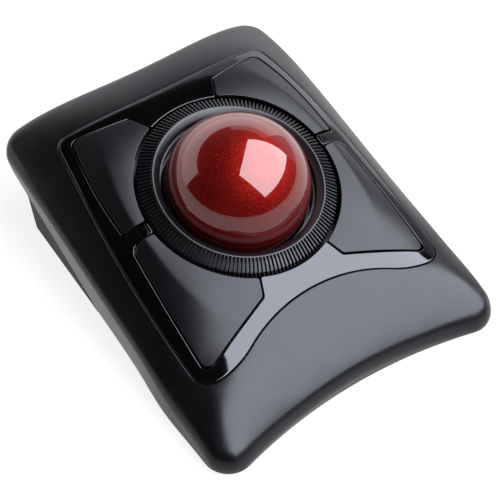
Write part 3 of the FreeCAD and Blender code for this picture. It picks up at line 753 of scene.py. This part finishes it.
def creased(place):
    """A button's face rises from its edges to a crease between an inner facet and a steep flank."""
    def sink(flat):
        across, ahead = np.abs(flat[:, 0]), np.abs(flat[:, 1])
        if place == "lower":
            crease, edge = 43.4 - 0.0001 * ahead**3, 48.1 + 0.055 * ahead
        else:
            crease, edge = 43.7 - 0.0055 * ahead**2, 47.7 - 0.0022 * ahead**2
        inner = (np.hypot(across, ahead) - ring_hole) / (np.hypot(crease, ahead) - ring_hole)
        outer = (edge - across) / (edge - crease)
        blur = 0.05 + 0.30 * np.clip(ahead / 45.0, 0, 1)**2
        tent = np.clip(softer_min(inner, outer, blur), 0, 1)
        return -crease_height * tent * soft_step((62.0 - ahead) / 34.0)
    return sink


for place in ("lower", "upper"):
    for side, word in ((1, "right"), (-1, "left")):
        loop = button_outline(place, side, -button_gap / 2)
        points, faces = panel([loop], on_crown_tilted, button_round, button_wall, button_spacing,
                              creased(place))
        key, body = "key_" + place + "_" + word, "button_" + place + "_" + word
        make_object(key, points, faces, key_black, body, [body])


def on_raised_crown(points, depth):
    return on_crown_tilted(points, depth - pad_rise)


for side, word in ((1, "right"), (-1, "left")):
    corners = [(side * 40.3, -0.9), (side * 43.5, -0.9), (side * 43.5, 2.7), (side * 40.3, 2.7)]
    edges = [line(corners[i], corners[(i + 1) % 4], 8) for i in range(4)]
    pad = closed_loop(edges, [0.5] * 4, 5)
    points, faces = panel([pad], on_raised_crown, pad_round, pad_wall, pad_spacing)
    make_object("nub_pad_" + word, points, faces, gloss, "root")


# ---- scroll ring --------------------------------------------------------
tooth_count = 150
# points round the ring for each tooth
samples = 8
# radius and height of each row on a tooth, then in the slot beside it
ring_rows = [
    (29.5, 0.7, 29.5, 0.7), (29.5, 1.95, 29.5, 1.95), (29.56, 2.14, 29.56, 2.14),
    (29.75, 2.33, 29.75, 2.33), (30.5, 2.83, 30.5, 2.83), (31.3, 3.34, 31.3, 3.34),
    (31.95, 3.74, 31.95, 3.74), (32.12, 3.81, 32.12, 3.81), (32.3, 3.84, 32.3, 3.84),
    (32.5, 3.84, 32.5, 3.84), (32.62, 3.82, 32.62, 3.8), (32.75, 3.76, 32.7, 3.5),
    (33.0, 3.63, 32.8, 2.9), (33.6, 3.30, 33.4, 2.35), (34.6, 2.76, 34.5, 1.75),
    (35.6, 2.21, 35.5, 1.2), (36.6, 1.67, 36.5, 0.62), (37.5, 1.17, 37.0, 0.35),
    (37.8, 0.98, 37.2, 0.2), (37.95, 0.8, 37.3, 0.0), (38.0, 0.55, 37.35, -0.3),
    (38.0, -0.4, 37.4, -0.9), (38.0, -1.2, 38.0, -1.3), (38.0, -2.0, 38.0, -2.0),
    (36.6, -2.0, 36.6, -2.0), (36.6, -4.5, 36.6, -4.5), (30.6, -4.5, 30.6, -4.5),
    (30.6, -0.2, 30.6, -0.2),
]


def make_ring():
    """Each row of ring_rows, taken round the axis, swings between its tooth and its slot."""
    count = tooth_count * samples
    phase = np.arange(count) / samples
    ridge = np.clip(0.5 + 1.3 * np.cos(2 * math.pi * phase), 0, 1)
    angle = 2 * math.pi * np.arange(count) / count
    points, faces = [], []
    for k, (r1, t1, r0, t0) in enumerate(ring_rows):
        radius = r0 + (r1 - r0) * ridge
        height = t0 + (t1 - t0) * ridge
        points.append(np.column_stack([radius * np.cos(angle), radius * np.sin(angle), height]))
        faces += strip(k * count, (k + 1) % len(ring_rows) * count, count)
    return tilted(np.concatenate(points)), faces


points, faces = make_ring()
replaced = ["scroll_ring"]
ring = make_object("toothed_ring", points, faces, ring_black, "scroll_ring", replaced)
ring.data.set_sharp_from_angle(angle=math.radians(50))


# ---- ball ---------------------------------------------------------------
def make_ball():
    work = bmesh.new()
    bmesh.ops.create_icosphere(work, subdivisions=7, radius=ball_radius)
    points = np.array([tuple(v.co) for v in work.verts]) + np.array([0, ball_y, ball_z])
    faces = [tuple(v.index for v in f.verts) for f in work.faces]
    work.free()
    return points, faces


points, faces = make_ball()
make_object("pearl_ball", points, faces, pearl_red, "ball", ["ball_coat"])


# ---- finishes of the CAD pieces -----------------------------------------
inner_tone, inner_light = (0.010, 0.010, 0.010), (0.016, 0.016, 0.016)
switch_tone, switch_light = (0.014, 0.014, 0.015), (0.022, 0.022, 0.023)
inner_black = plastic("inner_black", inner_tone, inner_light, 0.45, 0.06, 1800, 0.3)
switch_black = plastic("switch_black", switch_tone, switch_light, 0.40, 0.05, 2200, 0.2)
white = plastic("white_moulding", (0.62, 0.61, 0.58), (0.70, 0.69, 0.66), 0.35, 0.05, 2000, 0.15)
ruby = plastic("ruby", (0.42, 0.010, 0.05), (0.52, 0.018, 0.07), 0.10, 0.02, 400, 0.02)
resin = plastic("ball_resin", (0.26, 0.010, 0.010), (0.34, 0.016, 0.014), 0.25, 0.03, 900, 0.1)
mask = plastic("solder_mask", (0.010, 0.10, 0.035), (0.016, 0.14, 0.05), 0.32, 0.05, 1500, 0.2)
epoxy = plastic("chip_epoxy", (0.012, 0.012, 0.013), (0.02, 0.02, 0.02), 0.5, 0.05, 3000, 0.4)
lens_tone, lens_light = (0.50, 0.52, 0.56), (0.58, 0.60, 0.64)
optic = plastic("lens_clear", lens_tone, lens_light, 0.06, 0.01, 500, 0.02, clear=1.0)
sleeve = plastic("cell_sleeve", (0.07, 0.075, 0.085), (0.10, 0.105, 0.115), 0.28, 0.04, 700, 0.1)
rubber = plastic("foot_rubber", (0.018, 0.018, 0.018), (0.028, 0.028, 0.028), 0.75, 0.06, 2600, 0.6)
nickel = worn_metal("nickel_plate", (0.62, 0.60, 0.56), (0.72, 0.70, 0.66), 0.28, 0.08)
screw = worn_metal("black_zinc", (0.16, 0.16, 0.17), (0.24, 0.24, 0.25), 0.35, 0.08)

finish_of = {
    "casing_base": casing_low, "inner_black": inner_black, "switch_black": switch_black,
    "plunger_white": white, "guide_black": inner_black, "bearing_ruby": ruby, "ball_resin": resin,
    "board_green": mask, "chip_black": epoxy, "lens_clear": optic, "cell_metal": sleeve,
    "foot_rubber": rubber, "nickel": nickel, "screw_steel": screw, "ring_black": ring_black,
    "button_black": key_black, "gloss_black": gloss, "casing": casing, "ball_pearl": pearl_red,
}
for part in frame["record"]["subparts"]:
    piece = frame["nodes"][part["node"]]
    for slot in piece.material_slots:
        slot.material = finish_of[part["material_slot"]]
    if not piece.material_slots:
        piece.data.materials.append(finish_of[part["material_slot"]])


# ---- stage, light and camera --------------------------------------------
# the floor, a little under the feet, and the screens, in metres
floor_drop = 0.0003
floor_half = 6
screen_distance = 1.6


def stage_surface(name, corners, faces, material):
    mesh = bpy.data.meshes.new(name)
    mesh.from_pydata(corners, [], faces)
    mesh.materials.append(material)
    shape = bpy.data.objects.new(name, mesh)
    bpy.context.scene.collection.objects.link(shape)


def stage_material(name, tone, glow):
    """A pale surface, lit a little from behind as well."""
    pale, darker = (tone,) * 3, (tone * 0.99,) * 3
    made, tree, shader = new_material(name, pale, 0.9)
    tone_break(tree, shader, pale, darker, 0.5)
    shader.inputs["Emission Color"].default_value = (1, 1, 1, 1)
    shader.inputs["Emission Strength"].default_value = glow
    return made


def screen(name, start, stop, low, high, material):
    """An upright curved screen, between two directions measured from +Y towards +X, in degrees."""
    steps = 8
    corners = []
    for z in (low, high):
        for k in range(steps + 1):
            around = math.radians(start + (stop - start) * k / steps)
            x, y = math.sin(around), math.cos(around)
            corners.append((screen_distance * x, screen_distance * y, z))
    faces = [(k, k + 1, k + steps + 2, k + steps + 1) for k in range(steps)]
    stage_surface(name, corners, faces, material)


table_white = stage_material("table_white", 0.10, 0.85)
screen_white = stage_material("screen_white", 0.60, 0.95)
screen_grey = stage_material("screen_grey", 0.15, 0.20)
screen_dim = stage_material("screen_dim", 0.25, 0.50)
signs = ((-1, -1), (1, -1), (1, 1), (-1, 1))
floor_corners = [(x * floor_half, y * floor_half, -floor_drop) for x, y in signs]
stage_surface("floor", floor_corners, [(0, 1, 2, 3)], table_white)
screen("screen_back", -58, 70, 0.0, 0.80, screen_white)
screen("screen_side", 70, 97, 0.0, 0.80, screen_grey)
screen("screen_corner", 26, 70, 0.80, 1.20, screen_dim)


def softbox(name, centre, across, along, radiance):
    """A rectangle of light with half sides across and along, lit on the side of the object."""
    centre, across, along = Vector(centre), Vector(across), Vector(along)
    along = along - across * (along.dot(across) / across.dot(across))
    lamp = bpy.data.lights.new(name, "AREA")
    lamp.shape = "RECTANGLE"
    lamp.color = (0.92, 0.95, 1.0)
    lamp.size, lamp.size_y = 2 * across.length, 2 * along.length
    lamp.energy = radiance * math.pi * lamp.size * lamp.size_y
    holder = bpy.data.objects.new(name, lamp)
    x, y = across.normalized(), along.normalized()
    z = x.cross(y)
    if z.dot(centre) < 0:
        x, z = -x, -z
    turn = Matrix((x, y, z)).transposed()
    holder.matrix_world = Matrix.Translation(centre) @ turn.to_4x4()
    bpy.context.scene.collection.objects.link(holder)


softbox("key_light", (0.498, -0.353, 1.031), (0.32, -0.392, -0.493), (0.655, 0.593, -0.087), 10.6)

world = bpy.data.worlds.new("studio")
world.use_nodes = True
world.node_tree.nodes["Background"].inputs["Color"].default_value = (0.012, 0.012, 0.013, 1)
bpy.context.scene.world = world

# the camera, in metres: where it is, the point it looks at, and how far its right side turns up
camera = bpy.data.cameras.new("camera")
camera.lens = 133.16
camera.sensor_width = 36.0
camera.clip_end = 20.0
eye_at = Vector((-0.29342, -0.33175, 0.55801))
aim_at = Vector((-0.00087, -0.00519, 0.01233))
roll = math.radians(6.9045)
back_way = (eye_at - aim_at).normalized()
level_way = Vector((0, 0, 1)).cross(back_way).normalized()
right_way = level_way * math.cos(roll) + back_way.cross(level_way) * math.sin(roll)
turn = Matrix((right_way, back_way.cross(right_way), back_way)).transposed()
eye = bpy.data.objects.new("camera", camera)
eye.matrix_world = Matrix.Translation(eye_at) @ turn.to_4x4()
bpy.context.scene.collection.objects.link(eye)
bpy.context.scene.camera = eye
bpy.context.scene.view_settings.view_transform = "Standard"
